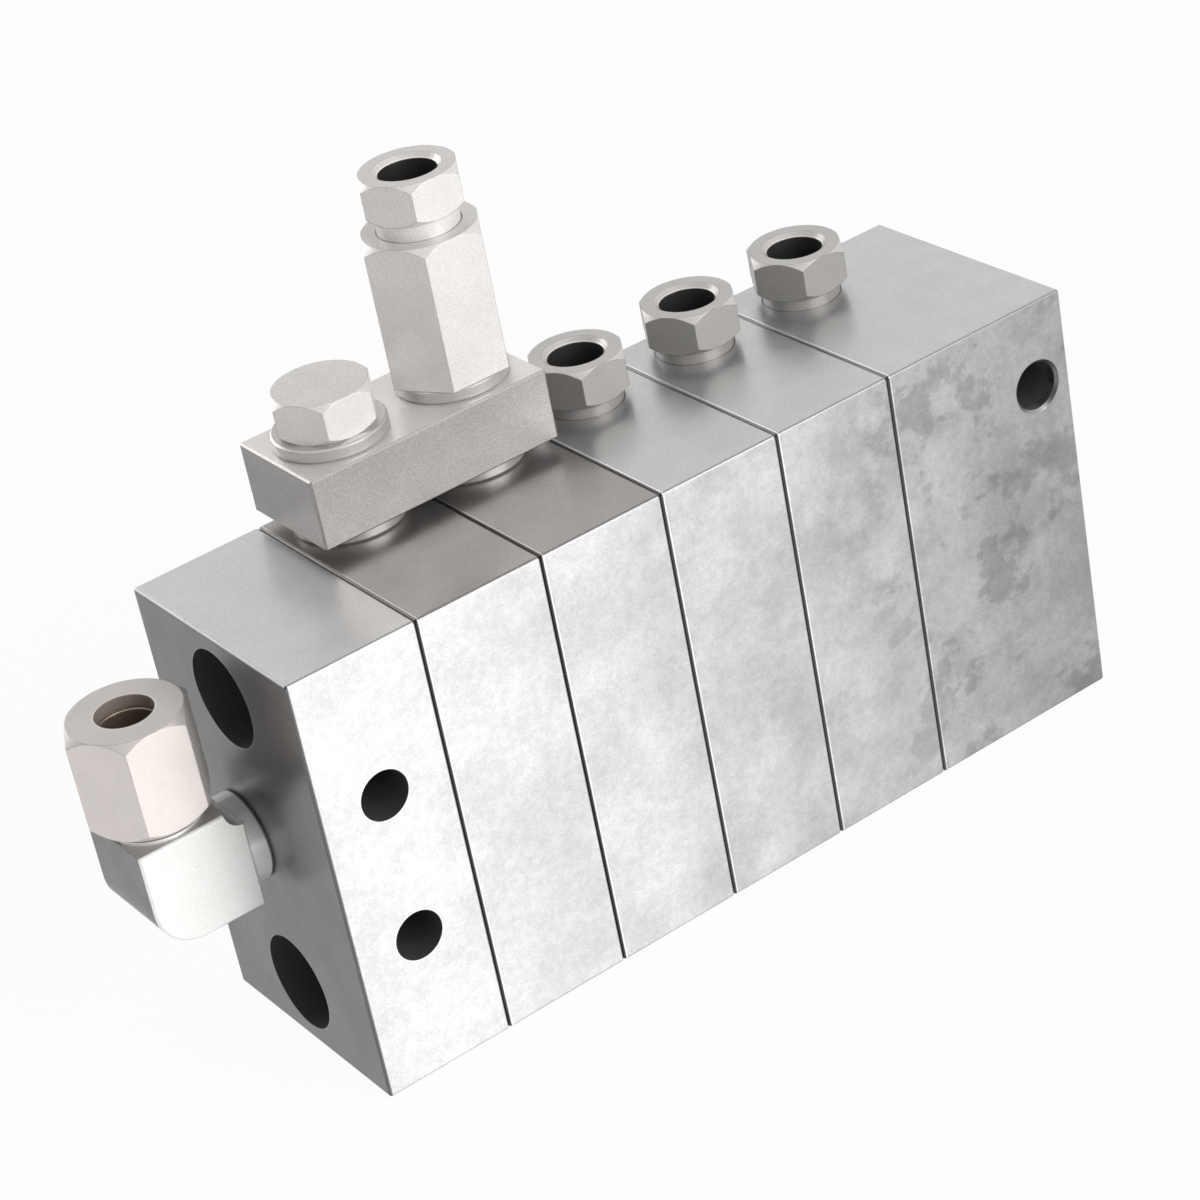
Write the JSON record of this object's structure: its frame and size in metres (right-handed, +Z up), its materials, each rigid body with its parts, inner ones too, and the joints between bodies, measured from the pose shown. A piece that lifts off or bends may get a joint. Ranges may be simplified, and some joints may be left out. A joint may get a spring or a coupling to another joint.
{
  "type": "lubricant divider block",
  "caption": "Sectional grease divider block: clamped slices with spool pistons, an elbow inlet at one end, outlet union screws on top and a cross-porting bar that carries a check valve.",
  "frame": {"origin": "centre of the bottom face of the row of slices", "axes": "+X along the row away from the inlet end, +Y to the back face, +Z up, the way the outlet tubes leave"},
  "size_m": [0.1161, 0.0305, 0.0834],
  "materials": {
    "slices": "satin zinc plating, lightly mottled",
    "fittings": "fine satin zinc plating",
    "bar": "satin zinc plating",
    "rings": "satin, with a sealing lip inside",
    "tie_screws": "black oxide",
    "plugs": "satin zinc plating",
    "pistons": "ground",
    "seals": "matt black",
    "sleeves": "turned",
    "ball": "polished",
    "spring": "drawn wire"
  },
  "bodies": {
    "block": {"inlet_section": "slices", "middle_section_1": "slices", "middle_section_2": "slices", "middle_section_3": "slices", "middle_section_4": "slices", "end_section": "slices", "joint_seals_1": "seals", "joint_seals_2": "seals", "joint_seals_3": "seals", "joint_seals_4": "seals", "joint_seals_5": "seals", "tie_screws": "tie_screws", "bore_plugs": "plugs", "drilling_plugs": "plugs", "closure_plugs": "plugs", "bar_plug": "plugs", "outlet_union_1": "fittings", "outlet_sleeve_1": "sleeves", "outlet_union_2": "fittings", "outlet_sleeve_2": "sleeves", "outlet_union_3": "fittings", "outlet_sleeve_3": "sleeves", "crossport_bar": "bar", "screw_ring_lower": "rings", "screw_ring_upper": "rings", "valve_ring_lower": "rings", "valve_ring_upper": "rings", "closure_screw": "fittings", "valve_body": "fittings", "valve_spring": "spring", "valve_spring_retainer": "plugs", "valve_union": "fittings", "valve_sleeve": "sleeves", "elbow_body": "fittings", "elbow_union_nut": "fittings", "elbow_sleeve": "sleeves"},
    "piston_1": {"piston_1": "pistons"},
    "piston_2": {"piston_2": "pistons"},
    "piston_3": {"piston_3": "pistons"},
    "piston_4": {"piston_4": "pistons"},
    "piston_5": {"piston_5": "pistons"},
    "valve_ball": {"valve_ball": "ball"}
  },
  "joints": [
    {"name": "piston_1_slide", "type": "slide", "parent": "block", "child": "piston_1", "axis": [0, 0, 1], "range_m": [0, 0.005]},
    {"name": "piston_2_slide", "type": "slide", "parent": "block", "child": "piston_2", "axis": [0, 0, 1], "range_m": [0, 0.005]},
    {"name": "piston_3_slide", "type": "slide", "parent": "block", "child": "piston_3", "axis": [0, 0, 1], "range_m": [0, 0.005]},
    {"name": "piston_4_slide", "type": "slide", "parent": "block", "child": "piston_4", "axis": [0, 0, 1], "range_m": [0, 0.005]},
    {"name": "piston_5_slide", "type": "slide", "parent": "block", "child": "piston_5", "axis": [0, 0, 1], "range_m": [0, 0.005]},
    {"name": "valve_ball_slide", "type": "slide", "parent": "block", "child": "valve_ball", "axis": [0, 0, 1], "range_m": [0, 0.0008], "stiffness_N_per_m": 50, "springref_m": -0.003, "deforming": ["valve_spring"]}
  ]
}
